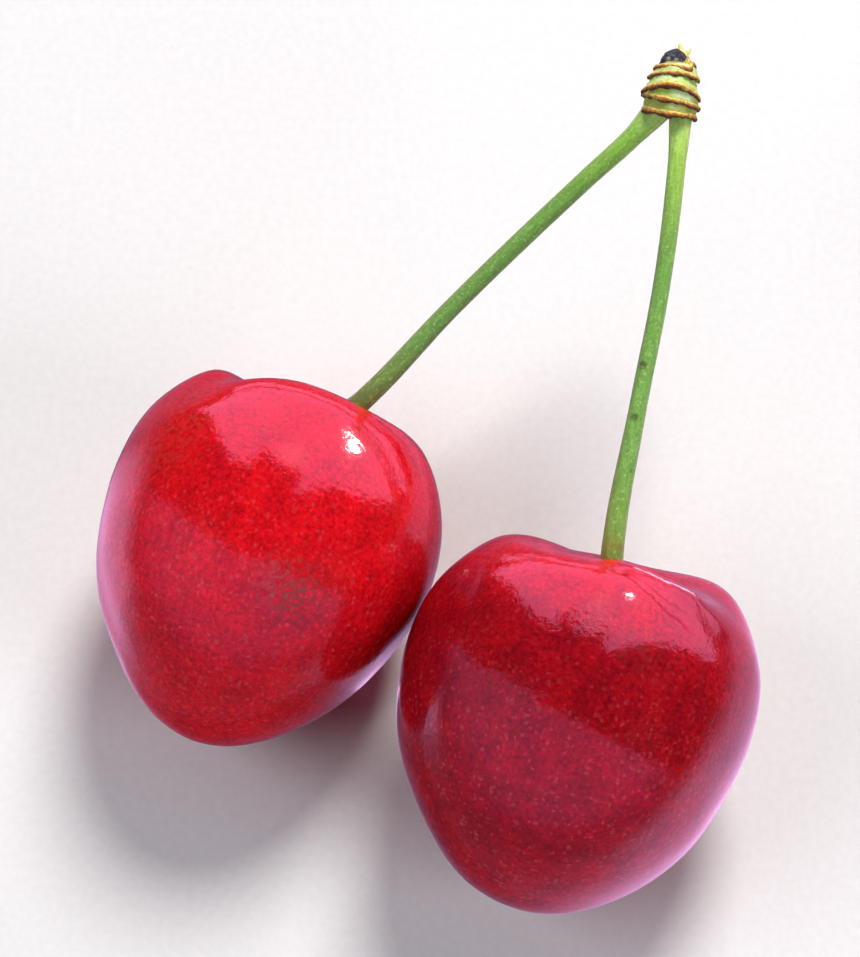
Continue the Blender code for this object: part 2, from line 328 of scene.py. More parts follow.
def add_lamp(name, direction, distance, size, power, colour, mirrored):
    data = bpy.data.lights.new(name, "AREA")
    data.shape = "DISK"
    data.size = size
    data.energy = power
    data.color = colour
    lamp = bpy.data.objects.new(name, data)
    bpy.context.scene.collection.objects.link(lamp)
    lamp.location = VIEW_MIDDLE + direction * distance
    lamp.rotation_euler = direction.to_track_quat("Z", "Y").to_euler()
    lamp.visible_glossy = mirrored
    return lamp


add_lamp("key", compass(70, 52), LAMP_DISTANCE, 260 * MM, 6.0, (1.0, 0.97, 0.92), mirrored=False)
add_lamp("fill_left", compass(192, 45), LAMP_DISTANCE, 500 * MM, 2.1, COOL_WHITE, mirrored=False)
add_lamp("fill_right", compass(326, 30), LAMP_DISTANCE, 400 * MM, 2.2, (0.95, 0.95, 1.0), mirrored=False)
glint_left, glint_right = [
    add_lamp(name, direction, GLINT_DISTANCE, size, power, WARM_WHITE, mirrored=True)
    for name, direction, size, power in (
        ("glint_left", compass(44, 20), 30 * MM, 0.26), ("glint_right", compass(49, 35), 22 * MM, 0.17),
    )
]
print("lamps hung:", len(bpy.data.lights))

# %% [markdown]
# ## Reflection cards: the window
#
# What the skin mirrors is a set of glowing cards.  In a studio they would be
# sheets of paper and cloth round the table.  Here each is a mesh with an
# emission finish that only mirror rays can see, so it throws neither light
# nor shadow on anything.  The brightest is a pink window that stands upright
# behind the pair.  Its outline is given as degrees round from +X and degrees
# above the level, because that is how the fruit see it.

# %% Stand the window card
CARD_DISTANCE = 300 * MM
CARD_AZIMUTH = 65
WINDOW_PINK = (1.0, 0.33, 0.64)
WINDOW_GLOW = 4.6
WINDOW_OUTLINE = (
    (13, 1), (14, 8), (16, 22), (21, 34), (25, 46), (30, 60), (35, 67), (40, 66), (46, 60),
    (55, 59), (66, 62), (78, 62), (88, 60), (95, 57), (99, 50), (104, 53), (111, 58),
    (118, 53), (123, 44), (121, 24), (121, 5), (121, 1),
)


def finish_card(card, colour, strength, pattern=None):
    """Make a mesh a glowing card that only mirror rays can see."""
    glow = Finish(card.name)
    glow.tree.nodes.remove(glow.shader)
    shine = glow.node("ShaderNodeEmission")
    shine.inputs["Color"].default_value = (*colour, 1.0)
    if pattern:
        strength = glow.maths("MULTIPLY", pattern(glow), strength)
    glow.put(strength, shine.inputs["Strength"])
    glow.join(shine.outputs[0], glow.tree.nodes["Material Output"].inputs["Surface"])
    card.data.materials.append(glow.material)
    card.visible_diffuse = False
    card.visible_camera = False
    card.visible_shadow = False


def flat_card(name, corners):
    """One-faced mesh through the given corners."""
    mesh = bpy.data.meshes.new(name)
    mesh.from_pydata(corners, [], [tuple(range(len(corners)))])
    card = bpy.data.objects.new(name, mesh)
    bpy.context.scene.collection.objects.link(card)
    return card


def on_card(azimuth, elevation):
    """Where a direction meets the upright plane of the window card."""
    way = compass(azimuth, elevation)
    facing = compass(CARD_AZIMUTH, 0)
    return VIEW_MIDDLE + way * (CARD_DISTANCE / way.dot(facing))


window_card = flat_card("window_card", [on_card(*corner) for corner in WINDOW_OUTLINE])
finish_card(window_card, WINDOW_PINK, WINDOW_GLOW)
print("window card stands", round(CARD_DISTANCE / MM), "mm from the pair")

# %% [markdown]
# ## Reflection cards: the paper dome
#
# On its near side the skin mirrors pale violet paper that grows brighter with
# height.  The paper is the part of a large ball that a bisect leaves standing,
# so it ends in one clean edge, and the gap between it and the window stays
# dark.

# %% Hang the paper dome
PAPER_VIOLET = (0.66, 0.45, 1.0)
PAPER_RADIUS = 600 * MM
PAPER_EDGE = Vector((0.447, 0.84, 0.306))
PAPER_EDGE_DROP = 15 * MM
PAPER_LOW, PAPER_HIGH = -20 * MM, 260 * MM
PAPER_DIMMEST = 0.36


def paper_pattern(glow):
    height = glow.split(glow.place)[2]
    return glow.span(height, PAPER_LOW, PAPER_HIGH, PAPER_DIMMEST, 1.0)


deselect_all()
bpy.ops.mesh.primitive_uv_sphere_add(segments=64, ring_count=32, radius=PAPER_RADIUS, location=VIEW_MIDDLE)
paper_card = bpy.context.object
paper_card.name = "paper_card"
edit_all()
bpy.ops.mesh.bisect(
    plane_co=VIEW_MIDDLE - PAPER_EDGE * PAPER_EDGE_DROP, plane_no=PAPER_EDGE, clear_outer=True
)
stop_editing()
finish_card(paper_card, PAPER_VIOLET, 1.0, paper_pattern)
print("paper dome has", len(paper_card.data.polygons), "faces left")

# %% [markdown]
# ## Reflection cards: the surface
#
# The lower half of each fruit mirrors the surface it lies on.  A disc a hair
# above the floor takes its place, because the mirrored tone has to change
# round the pair: bright to the left and the right, nearly dark in front and
# behind, darkest in the shade close under the fruit.  Two ramps hold that, one
# by heading in degrees from +X and one by distance in millimetres, and a
# faint haze is added far off.

# %% Lay the ground card
GROUND_VIOLET = (0.83, 0.50, 0.90)
GROUND_GLOW = 2.97
GROUND_SPAN = 590
GROUND_BY_HEADING = (
    (-180, 2.1), (-173, 1.2), (-166, 0.55), (-150, 0.28), (-140, 0.2), (-84, 0.25),
    (-62, 0.6), (-46, 1.5), (-20, 1.7), (-5, 1.25), (20, 0.7), (62, 0.6), (80, 0.35),
    (104, 0.22), (120, 0.32), (138, 0.34), (150, 1.7), (180, 2.2),
)
GROUND_BY_DISTANCE = (
    (0, 0.8), (10, 0.65), (16, 0.42), (24, 0.35), (31, 1.0), (70, 1.0), (105, 0.6),
    (200, 0.22), (400, 0.08),
)
HEADING_TOP = max(tone for _, tone in GROUND_BY_HEADING)
HAZE_BY_HEADING = (
    (-180, 0.36), (-70, 0.36), (-35, 0.12), (-15, 0.0), (138, 0.0), (156, 0.36), (180, 0.36),
)
HAZE_START, HAZE_FULL = 40 * MM, 260 * MM


def ground_pattern(glow):
    across, ahead, _ = glow.split(glow.place)
    turn = glow.turn_share(across, ahead)
    distance = glow.distance((0, 0, 0))
    around = glow.ramp(turn, *turn_stops(GROUND_BY_HEADING, HEADING_TOP))
    share = glow.maths("DIVIDE", distance, GROUND_SPAN * MM)
    fading = glow.ramp(share, *[(reach / GROUND_SPAN, tone) for reach, tone in GROUND_BY_DISTANCE])
    haze = glow.ramp(turn, *turn_stops(HAZE_BY_HEADING, GROUND_GLOW))
    far_off = glow.span(distance, HAZE_START, HAZE_FULL)
    return glow.maths("ADD", glow.maths("MULTIPLY", around, fading), glow.maths("MULTIPLY", haze, far_off))


deselect_all()
bpy.ops.mesh.primitive_circle_add(
    vertices=72, radius=GROUND_SPAN * MM, fill_type="NGON", location=(-5 * MM, -10 * MM, -0.07 * MM)
)
ground_card = bpy.context.object
ground_card.name = "ground_card"
finish_card(ground_card, GROUND_VIOLET, GROUND_GLOW, ground_pattern)
print("ground card reaches", GROUND_SPAN, "mm")

# %% [markdown]
# ## Reflection cards: crest and sill
#
# Three flat cards finish the rims.  The crest is a white disc that puts a
# bright line on the ridge of the right fruit's shoulder; further down it is
# linked to that fruit alone.  The sill is two pieces of a ring on the surface
# under the window, a dark one and a pink one on top of it, so the window's
# reflection does not end at the surface but goes on in it after a gap.

# %% Lay the crest and the sill
CREST_WHITE = (0.86, 0.72, 1.0)
CREST_GLOW = 9.0
SILL_STEP = 3


def ring_card(name, inner, outer, start, end, height):
    """Flat piece of a ring, between two distances and two headings."""
    headings = range(start, end + 1, SILL_STEP)
    middle = Vector((0, -5, height)) * MM
    corners = [middle + compass(heading, 0) * outer * MM for heading in headings]
    corners += [middle + compass(heading, 0) * inner * MM for heading in reversed(headings)]
    return flat_card(name, corners)


deselect_all()
bpy.ops.mesh.primitive_circle_add(
    vertices=32, radius=15 * MM, fill_type="NGON", location=(44 * MM, 36 * MM, -0.04 * MM)
)
crest_card = bpy.context.object
crest_card.name = "crest_card"
finish_card(crest_card, CREST_WHITE, CREST_GLOW)
finish_card(ring_card("sill_shade", 68, 580, 17, 110, -0.06), (0.5, 0.3, 0.6), 0.1)
finish_card(ring_card("sill_light", 84, 340, 23, 110, -0.05), (1.0, 0.40, 0.74), 3.0)
print("crest and two sills lie on the surface")

# %% [markdown]
# ## The fruit: shape
#
# A cherry is nearly a ball, drawn in to a blunt tip, with a hollow where the
# stalk stands and a shallow seam down one side.  It is modelled as one would
# by hand: a sphere is stretched to the fruit's half sizes, and then single
# points are dragged with proportional editing, so all the skin within a
# given reach follows smoothly.  Each drag is a swelling, a flat or a dent.

# %% Pull the skin of a fruit
FRUIT_SEGMENTS = 96
FRUIT_RINGS = 72


def aim(longitude, latitude):
    """Unit vector from degrees round the fruit and degrees up from its waist."""
    return compass(longitude, latitude)


def start_fruit(name, half_size):
    """Stretched sphere, and the direction each of its points had on the ball."""
    deselect_all()
    bpy.ops.mesh.primitive_uv_sphere_add(segments=FRUIT_SEGMENTS, ring_count=FRUIT_RINGS, radius=1.0)
    fruit = bpy.context.object
    fruit.name = name
    spots = [vertex.co.normalized() for vertex in fruit.data.vertices]
    edit_all()
    bpy.ops.transform.resize(value=half_size)
    stop_editing()
    return fruit, spots


def pull(piece, indices, shift, reach):
    """Drag some points; the mesh within reach follows, less the further it is."""
    make_active(piece)
    bpy.ops.object.mode_set(mode="EDIT")
    bpy.ops.mesh.select_mode(type="VERT")
    bpy.ops.mesh.select_all(action="DESELECT")
    stop_editing()
    for index in indices:
        piece.data.vertices[index].select = True
    bpy.ops.object.mode_set(mode="EDIT")
    bpy.ops.transform.translate(
        value=shift,
        use_proportional_edit=True,
        proportional_edit_falloff="SMOOTH",
        proportional_size=reach,
    )
    stop_editing()


def nearest(spots, way):
    """Number of the point that lies nearest to a direction."""
    return max(range(len(spots)), key=lambda index: spots[index].dot(way))


print("each fruit starts with", FRUIT_SEGMENTS, "by", FRUIT_RINGS, "faces")

# %% [markdown]
# ## The fruit: order of the pulls
#
# The order matters, because each pull moves the skin that the next one takes
# hold of.  First the cheeks swell or flatten, then the tip is drawn out, then
# a wide dish and a narrow pit make the hollow.  The seam is a row of points
# pressed inwards in strokes that each start lower down, so it runs out softly.
# Last come the lobes beside the hollow and, on one fruit, the sharp ridge of
# the shoulder.

# %% Shape a fruit
STALK_END = aim(0, 90)
BLOSSOM_END = aim(0, -90)
TIP_REACH = 9 * MM
DISH_DEPTH, DISH_REACH = 2.6 * MM, 9 * MM
PIT_DEPTH, PIT_REACH = 1.6 * MM, 4 * MM
SEAM_PRESS_LATITUDE = 40
SEAM_REACH = 3.6 * MM
SEAM_STEP = 5
RIDGE_RISE, RIDGE_REACH = 0.32 * MM, 1.7 * MM


def shape_fruit(
    name, half_size, swellings, tip_shift, hollow_shift, seam_longitude, strokes, lobes, ridge=()
):
    """Fruit on its own axes, and where its pit is; pushes and reaches are millimetres."""
    fruit, spots = start_fruit(name, half_size)

    def push_out(places):
        for longitude, latitude, push, reach in places:
            way = aim(longitude, latitude)
            pull(fruit, [nearest(spots, way)], way * push * MM, reach * MM)

    push_out(swellings)
    pull(fruit, [nearest(spots, BLOSSOM_END)], Vector(tip_shift) * MM, TIP_REACH)
    pit = nearest(spots, STALK_END)
    pull(fruit, [pit], (hollow_shift, 0.0, -DISH_DEPTH), DISH_REACH)
    pull(fruit, [pit], (hollow_shift, 0.0, -PIT_DEPTH), PIT_REACH)
    inward = -aim(seam_longitude, SEAM_PRESS_LATITUDE)
    for lowest, depth in strokes:
        line = [aim(seam_longitude, latitude) for latitude in range(lowest, 91, SEAM_STEP)]
        pull(fruit, [nearest(spots, way) for way in line], inward * depth * MM, SEAM_REACH)
    push_out(lobes)
    if ridge:
        crest = [aim(*place) for place in ridge]
        middle = crest[len(crest) // 2]
        pull(fruit, [nearest(spots, way) for way in crest], middle * RIDGE_RISE, RIDGE_REACH)
    return fruit, fruit.data.vertices[pit].co.copy()


print("hollow is", round((DISH_DEPTH + PIT_DEPTH) / MM, 1), "mm deep")

# %% [markdown]
# ## The fruit: the two of them
#
# Both fruit are made the same way from their own numbers.  A place is given as
# degrees round the fruit and degrees up from its waist, a pull as millimetres
# outwards and its reach.  The left fruit is the longer one.  The right one is
# broader in the shoulder and has a ridge across the front of its hollow.

# %% Shape both fruit
left_cherry, left_pit = shape_fruit(
    "cherry_left",
    half_size=(11.55 * MM, 11.2 * MM, 13.3 * MM),
    swellings=(
        (0, 30, 0.4, 11), (180, 30, 0.9, 11), (0, -30, -0.5, 11),
        (180, -45, -0.15, 7), (90, -15, -0.6, 8),
    ),
    tip_shift=(-0.2, 0.0, -0.8),
    hollow_shift=0.0,
    seam_longitude=210,
    strokes=((65, 0.5), (55, 0.4), (40, 0.35)),
    lobes=((180, 65, -0.7, 3.5), (270, 65, 0.3, 5.5)),
)
right_cherry, right_pit = shape_fruit(
    "cherry_right",
    half_size=(11.8 * MM, 11.4 * MM, 13.2 * MM),
    swellings=(
        (0, 30, 1.2, 11), (180, 30, 0.75, 11), (180, -30, -0.25, 11),
        (180, -45, -0.4, 7), (90, -30, -0.6, 8),
    ),
    tip_shift=(0.3, 0.0, -0.4),
    hollow_shift=0.6 * MM,
    seam_longitude=345,
    strokes=((75, 0.5), (65, 0.45), (55, 0.35)),
    lobes=((30, 45, 0.9, 6), (135, 60, -0.4, 5), (270, 65, 0.45, 5.5)),
    ridge=((268, 68), (277, 66), (287, 62), (297, 59), (307, 56.5), (315, 55)),
)
print("points on each fruit:", len(left_cherry.data.vertices))

# %% [markdown]
# ## The fruit: laying them down
#
# Real skin is never quite even, so a Displace modifier with a cloud texture
# gives it hollows and rises of a few hundredths of a millimetre.  Then each
# fruit is turned and moved to where it lies and its place is applied to the
# mesh.  A bisect trims the underside where it rests; its threshold has to be
# far smaller than the faces, or it would merge some of them.  One level of
# subdivision rounds off what is left of the flat faces.

# %% Helpers for finishing a mesh
MERGE_WITHIN = 0.001 * MM


def turned(heading, lift, roll=0.0):
    """Turn whose own Z points along a heading from +Y, raised by the lift."""
    return (
        Matrix.Rotation(math.radians(heading), 4, "Z")
        @ Matrix.Rotation(math.radians(lift - 90.0), 4, "X")
        @ Matrix.Rotation(math.radians(roll), 4, "Z")
    )


def use_modifier(piece, kind, **settings):
    """Add a modifier, give it its settings and apply it at once."""
    make_active(piece)
    modifier = piece.modifiers.new(kind.lower(), kind)
    for key, value in settings.items():
        setattr(modifier, key, value)
    bpy.ops.object.modifier_apply(modifier=modifier.name)


def cloud_texture(name, size):
    texture = bpy.data.textures.new(name, "CLOUDS")
    texture.noise_scale = size
    texture.noise_depth = 1
    return texture


def place_in_mesh(piece, place):
    """Put a piece at its place and write that place into its mesh."""
    make_active(piece)
    piece.matrix_world = place
    bpy.ops.object.transform_apply(location=True, rotation=True, scale=True)


def cut_flat(height):
    """Cut away what lies under a height and close the cut; the mesh is being edited."""
    bpy.ops.mesh.bisect(
        plane_co=(0, 0, height), plane_no=(0, 0, 1), use_fill=True, clear_inner=True, threshold=MERGE_WITHIN
    )


print("points closer than", round(MERGE_WITHIN / MM, 4), "mm are merged")

# %% Uneven the skin and lay the fruit down
UNEVEN_DEPTH = 0.09 * MM
UNEVEN_SIZE = 3.2 * MM

uneven = cloud_texture("uneven_skin", UNEVEN_SIZE)
left_place = Matrix.Translation(Vector((-10.98, -3.4, 10.73)) * MM) @ turned(-21.2, 10.7, 7.2)
right_place = Matrix.Translation(Vector((9.74, -15.43, 11.14)) * MM) @ turned(-17.9, 23.1, 6.1)
for fruit, place in ((left_cherry, left_place), (right_cherry, right_place)):
    use_modifier(fruit, "DISPLACE", texture=uneven, strength=UNEVEN_DEPTH, mid_level=0.5)
    place_in_mesh(fruit, place)
    edit_all()
    cut_flat(0)
    stop_editing()
    use_modifier(fruit, "SUBSURF", levels=1, render_levels=1)
    bpy.ops.object.shade_smooth()
    print(fruit.name, "has", len(fruit.data.polygons), "faces")

# %% [markdown]
# ## Cherry skin: the fruit's own coordinates
#
# Everything in the skin is measured along the fruit's own axes, so its Z is the line from tip to stalk.  A
# Mapping node of the Texture kind undoes the way the fruit was laid down.  From those coordinates come a
# place's degrees round the fruit and up from its waist, and with them a thin line of painted shade can
# follow a path over the skin where the shoulder folds into the hollow; the skin's reflection is turned down
# along it too, a painted gap in the reflection.  Noise added to its height makes it ragged.

# %% Draw a line on the skin
FRUIT_LENGTH = 27 * MM
CREASE_SHADE_WIDTH = 0.24 * MM
CREASE_SHADE_SHAKE = 0.75 * MM
CREASE_SHADE_FADE_IN, CREASE_SHADE_FADE_OUT = 0.02, 0.03


def crease_shade_line(skin, own, path):
    """Thin ragged line of painted crease shade that follows the path of (longitude, latitude) in degrees.
    """
    across, ahead, height = skin.split(own)
    turn = skin.turn_share(across, ahead)
    level = skin.node("ShaderNodeVectorMath", operation="MULTIPLY")
    level.inputs[1].default_value = (1, 1, 0)
    skin.join(own, level.inputs[0])
    out = skin.node("ShaderNodeVectorMath", operation="LENGTH")
    skin.join(level.outputs[0], out.inputs[0])
    rise = skin.maths("ARCTAN2", height, out.outputs["Value"])
    wanted = skin.ramp(turn, *turn_stops(path, 90))
    gap = skin.maths("SUBTRACT", rise, skin.maths("MULTIPLY", wanted, math.pi / 2))
    gap = skin.maths("MULTIPLY", gap, FRUIT_LENGTH / 2)
    ragged = skin.noise(0.6 * MM, 5, 0.75, vector=own)
    shake = skin.maths("MULTIPLY_ADD", ragged, 2 * CREASE_SHADE_SHAKE, -CREASE_SHADE_SHAKE)
    gap = skin.maths("ABSOLUTE", skin.maths("ADD", gap, shake))
    line = skin.span(gap, CREASE_SHADE_WIDTH, CREASE_SHADE_WIDTH * 0.2, 0.0, 1.0)
    (start, _), (end, _) = turn_stops((path[0], path[-1]))
    ends = skin.ramp(
        turn, (start, 0.0), (start + CREASE_SHADE_FADE_IN, 1.0), (end - CREASE_SHADE_FADE_OUT, 0.8), (end, 0.0)
    )
    return skin.maths("MULTIPLY", line, ends)


# These lines are painted crease shade, with the skin's reflection turned down along them.
print("seam lines are", round(CREASE_SHADE_WIDTH / MM, 2), "mm wide")

# %% [markdown]
# ## Cherry skin: the layers
#
# The skin is a deep glossy red made of several layers.  Slow mottling between a brighter and a darker red
# comes first, then a fine grain and short streaks from tip to stalk, then the slow change of tone along the
# fruit, which is partly the fruit's own and partly painted light that evens out how the lamps fall on it.
# Over that lie countless pores, closest together towards the tip: three sizes of pale ones and one of dark
# ones.  They are scattered cells, each kept or dropped by its own chance.  Bruises, dull spots and patches
# of painted shade and painted highlight come last, with ragged edges, and then thin lines of painted crease
# shade.

# %% Make the skin
MOTTLE_SIZE, GRAIN_SIZE, STREAK_SIZE = 2.6 * MM, 0.30 * MM, 0.5 * MM
RICHEST_TONE = 1.5
SHAKE_SIZE = 0.45 * MM
RAGGED_SIZE = 0.45 * MM
# Colour of the painted crease shade.
CREASE_SHADE_TONE = (0.26, 0.003, 0.012)
FULL_SHEEN = 0.5
WAVE_SIZE, WAVE_DEPTH = 1.7 * MM, 0.05 * MM
DIMPLE_SIZE, DIMPLE_DEPTH = 0.36 * MM, 0.016 * MM
SKIN_IOR = 1.46

# Size of the cells, share of a cell that the pore fills, tint, strength, and
# whether it is found all over or mostly towards the tip.
PORES = (
    (0.42 * MM, 0.44, (0.66, 0.070, 0.095), 0.42, False),
    (0.75 * MM, 0.32, (0.64, 0.08, 0.10), 0.36, False),
    (1.25 * MM, 0.19, (0.68, 0.11, 0.11), 0.32, False),
    (0.75 * MM, 0.20, (0.13, 0.008, 0.008), 0.45, True),
)


def add_pores(skin, own, along, colour):
    """Scatter the pores over a colour."""
    towards_tip = skin.span(along, 6 * MM, -7 * MM, 0.25, 1.0)
    shaken = skin.wobbled(SHAKE_SIZE, SHAKE_SIZE, vector=own)
    for size, spread, tint, strength, everywhere in PORES:
        distance, chance = skin.cells(size, vector=shaken)
        dot = skin.span(distance, spread, spread * 0.4, 0.0, 1.0)
        luck = skin.node("ShaderNodeSeparateColor")
        skin.join(chance, luck.inputs[0])
        kept = skin.span(luck.outputs[0], 0.35, 0.95, 0.0, strength)
        shown = skin.maths("MULTIPLY", dot, kept)
        if not everywhere:
            shown = skin.maths("MULTIPLY", shown, towards_tip)
        colour = skin.mix(shown, colour, tint)
    return colour


def cherry_skin(name, place, bright, deep, tone_and_light_along, patches, crease_shades):
    """Skin of one fruit; a patch is (point, reach, tint, strength, bare and covered noise)."""
    skin = Finish(name)
    own = skin.own_frame(place.translation, place.to_euler())
    along = skin.split(own)[2]

    mottle = skin.noise(MOTTLE_SIZE, 5, 0.65, vector=own)
    colour = skin.mix(skin.span(mottle, 0.34, 0.66), deep, bright)
    grain = skin.noise(GRAIN_SIZE, 3, 0.7, vector=own)
    grain = skin.ramp(grain, (0.30, 0.45), (0.50, 0.95), (0.70, 1.45))
    colour = skin.mix(0.8, colour, grain, how="MULTIPLY")
    streaks = skin.noise(STREAK_SIZE, 3, 0.6, vector=skin.drawn_out(0.25, own))
    colour = skin.mix(skin.span(streaks, 0.52, 0.72, 0.0, 0.35), colour, bright)

    # Tone along the fruit: partly the fruit's own, partly painted light that evens out how the lamps fall
    # on it.
    share = skin.maths("MULTIPLY_ADD", along, 1.0 / FRUIT_LENGTH, 0.5)
    tone_and_light = skin.ramp(share, *[(spot, tone / RICHEST_TONE) for spot, tone in tone_and_light_along], ease="EASE")
    colour = skin.mix(1.0, colour, tone_and_light, how="MULTIPLY")
    colour = add_pores(skin, own, along, colour)
    # Some patches are bruises and dull spots, others are painted shade and painted highlight.
    for point, reach, tint, strength, (bare, covered) in patches:
        near = skin.span(skin.distance(point), reach, reach * 0.35, 0.0, 1.0)
        ragged = skin.span(skin.noise(RAGGED_SIZE, 5, 0.75), bare, covered, 0.0, strength)
        colour = skin.mix(skin.maths("MULTIPLY", near, ragged), colour, tint)

    # Each line paints crease shade into the colour and turns down the reflection along it, a painted gap in
    # the reflection.
    sheen = FULL_SHEEN
    for path, strength in crease_shades:
        line = skin.maths("MULTIPLY", crease_shade_line(skin, own, path), strength)
        colour = skin.mix(line, colour, CREASE_SHADE_TONE)
        sheen = skin.maths("MULTIPLY", sheen, skin.span(line, 0.0, 1.0, 1.0, 0.15))

    relief = skin.bump(skin.noise(WAVE_SIZE, 2, 0.5, vector=own), WAVE_DEPTH, 0.5)
    relief = skin.bump(skin.noise(DIMPLE_SIZE, 2, 0.5, vector=own), DIMPLE_DEPTH, 1.0, after=relief)
    gloss = skin.ramp(skin.noise(1.1 * MM, 3, 0.6, vector=own), (0.3, 0.08), (0.7, 0.15))
    skin.wear(Base_Color=colour, Roughness=gloss, Normal=relief, Specular_IOR_Level=sheen, IOR=SKIN_IOR)
    return skin.material


print("kinds of pores:", len(PORES))

# %% [markdown]
# ## Cherry skin: the two fruit
#
# The left fruit is a bright red with a bruise on its front, where the skin is torn, with a painted
# highlight of pale pink flecks above it, and painted shade, dull and brownish, on the lobe of its left
# cheek.  The right one is deeper, with painted light that makes it paler again towards its shoulder, two
# dull spots below the ridge and painted shade on its right cheek.  Patches are placed in millimetres in the
# frame, because that is where one would point at them.

# %% Give each fruit its skin
left_cherry.data.materials.append(
    cherry_skin(
        "skin_left", left_place, (0.90, 0.006, 0.013), (0.69, 0.0045, 0.012),
        # Tone along the fruit, partly painted light: lighter towards the tip.
        ((0.0, 1.14), (0.35, 1.05), (0.65, 0.90), (0.95, 0.90)),
        (
            (Vector((-8.7, -9.9, 19.9)) * MM, 4.4 * MM, (0.26, 0.006, 0.012), 0.85, (0.40, 0.56)),
            # Painted highlight: pale pink flecks above the bruise.
            (Vector((-9.4, -8.8, 20.3)) * MM, 2.8 * MM, (0.62, 0.075, 0.075), 0.35, (0.47, 0.60)),
            (Vector((-9.0, -9.6, 20.1)) * MM, 1.4 * MM, (0.52, 0.17, 0.03), 0.55, (0.56, 0.62)),
            (Vector((-8.6, -9.8, 19.8)) * MM, 2.0 * MM, (0.16, 0.022, 0.010), 0.70, (0.45, 0.56)),
            # Painted shade, dull and brownish, on the lobe of the left cheek.
            (Vector((-17.6, 3.0, 18.4)) * MM, 6.0 * MM, (0.40, 0.028, 0.018), 0.70, (0.47, 0.60)),
        ),
        # Painted crease shade where the shoulder folds into the hollow.
        (
            (((-60, 56.6), (-52.5, 56.2), (-35.3, 49.8), (-31.4, 43.8), (-30.3, 38.4), (-29.5, 33)), 0.9),
        ),
    )
)
right_cherry.data.materials.append(
    cherry_skin(
        "skin_right", right_place, (0.555, 0.0045, 0.013), (0.375, 0.003, 0.012),
        # Tone along the fruit: a darker band of its own, with painted light towards the tip and the
        # shoulder.
        ((0.0, 1.36), (0.35, 1.14), (0.58, 0.76), (0.72, 0.76), (0.90, 1.48)),
        (
            (Vector((13.9, -14.1, 22.2)) * MM, 2.2 * MM, (0.14, 0.02, 0.015), 0.40, (0.47, 0.60)),
            (Vector((15.2, -15.3, 21.5)) * MM, 2.2 * MM, (0.16, 0.01, 0.012), 0.35, (0.47, 0.60)),
            # Painted shade on the right cheek, where the key lamp lights the rear lobe.
            (Vector((18.6, -9.6, 17.6)) * MM, 5.5 * MM, (0.20, 0.002, 0.009), 0.75, (0.0, 0.2)),
        ),
        # Painted crease shade where the shoulder folds into the hollow.
        (
            (
                (
                    (-103, 62.6), (-99, 59.9), (-91.1, 59.2), (-82.4, 57.5), (-74.9, 54.2), (-68.8, 51.5),
                    (-62.9, 49.1), (-56.3, 45.9), (-52.0, 43.6), (-47.8, 41.0), (-44.2, 38.1),
                ),
                0.75,
            ),
            (((-77.6, 58.9), (-69.7, 55.4), (-60.9, 52.1), (-52.6, 50.2), (-44.5, 47.0)), 0.6),
        ),
    )
)

# %% [markdown]
# ## The fruit: light of their own and their places
#
# Light linking lets a lamp or a glowing card reach only the pieces in a
# collection.  Each glint is linked to its own fruit, so neither shows twice,
# and the crest to the right fruit alone.  Then the finished fruit take the
# places of the packed ones.  The printed corners show how closely they agree.

# %% Link the lights and hand the fruit over
for light, fruit in ((glint_left, left_cherry), (glint_right, right_cherry), (crest_card, right_cherry)):
    lit = bpy.data.collections.new(light.name + "_lights")
    lit.objects.link(fruit)
    light.light_linking.receiver_collection = lit

for fruit, node in ((left_cherry, "left_cherry"), (right_cherry, "right_cherry")):
    low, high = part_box(node)
    mesh_low = [min(vertex.co[axis] for vertex in fruit.data.vertices) for axis in range(3)]
    off = [round((ours - theirs) / MM, 2) for ours, theirs in zip(mesh_low, low)]
    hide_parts(node)
    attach(fruit, "root")
    print(node, "lowest corner differs from the frame by", off, "mm")

# %% [markdown]
# ## Stalks
#
# Each stalk is a long green strand, thickest in the hollow of the fruit and
# again where it meets the knob.  A Bezier curve with a round bevel is the
# natural tool: the points give its way and their radius its thickness.  It is
# converted to a mesh at the end so that it can be finished like the rest.

# %% Draw a stalk
STALK_SMOOTHNESS = 14
FOOT_RISE, NECK_RISE = 0.25 * MM, 1.1 * MM

knob_place = Matrix.Translation(Vector((16.69, 23.84, 23.29)) * MM) @ turned(-9.3, 28.8)


def draw_stalk(name, places, radii):
    """Round strand through some places, with its radius in millimetres at each."""
    deselect_all()
    bpy.ops.curve.primitive_bezier_curve_add()
    stalk = bpy.context.object
    stalk.name = name
    curve = stalk.data
    line = curve.splines[0]
    line.bezier_points.add(len(places) - len(line.bezier_points))
    for point, place, radius in zip(line.bezier_points, places, radii):
        point.handle_left_type = "AUTO"
        point.handle_right_type = "AUTO"
        point.co = place
        point.radius = radius
    curve.resolution_u = STALK_SMOOTHNESS
    curve.bevel_depth = MM
    curve.bevel_resolution = 5
    curve.use_fill_caps = True
    bpy.ops.object.convert(target="MESH")
    edit_all()
    bpy.ops.mesh.remove_doubles(threshold=MERGE_WITHIN)
    stop_editing()
    bpy.ops.object.shade_smooth()
    return stalk


def stalk_places(place, pit, way, top):
    """From the pit of a fruit, straight up a little, and by way of some places to the knob."""
    foot = place @ (pit + Vector((0.0, 0.0, FOOT_RISE)))
    neck = place @ (pit + Vector((0.0, 0.0, NECK_RISE)))
    middle = [Vector(point) * MM for point in way]
    return [foot, neck, *middle, knob_place @ (Vector(top) * MM)]


print("knob stands", round(knob_place.translation.z / MM, 1), "mm above the surface")

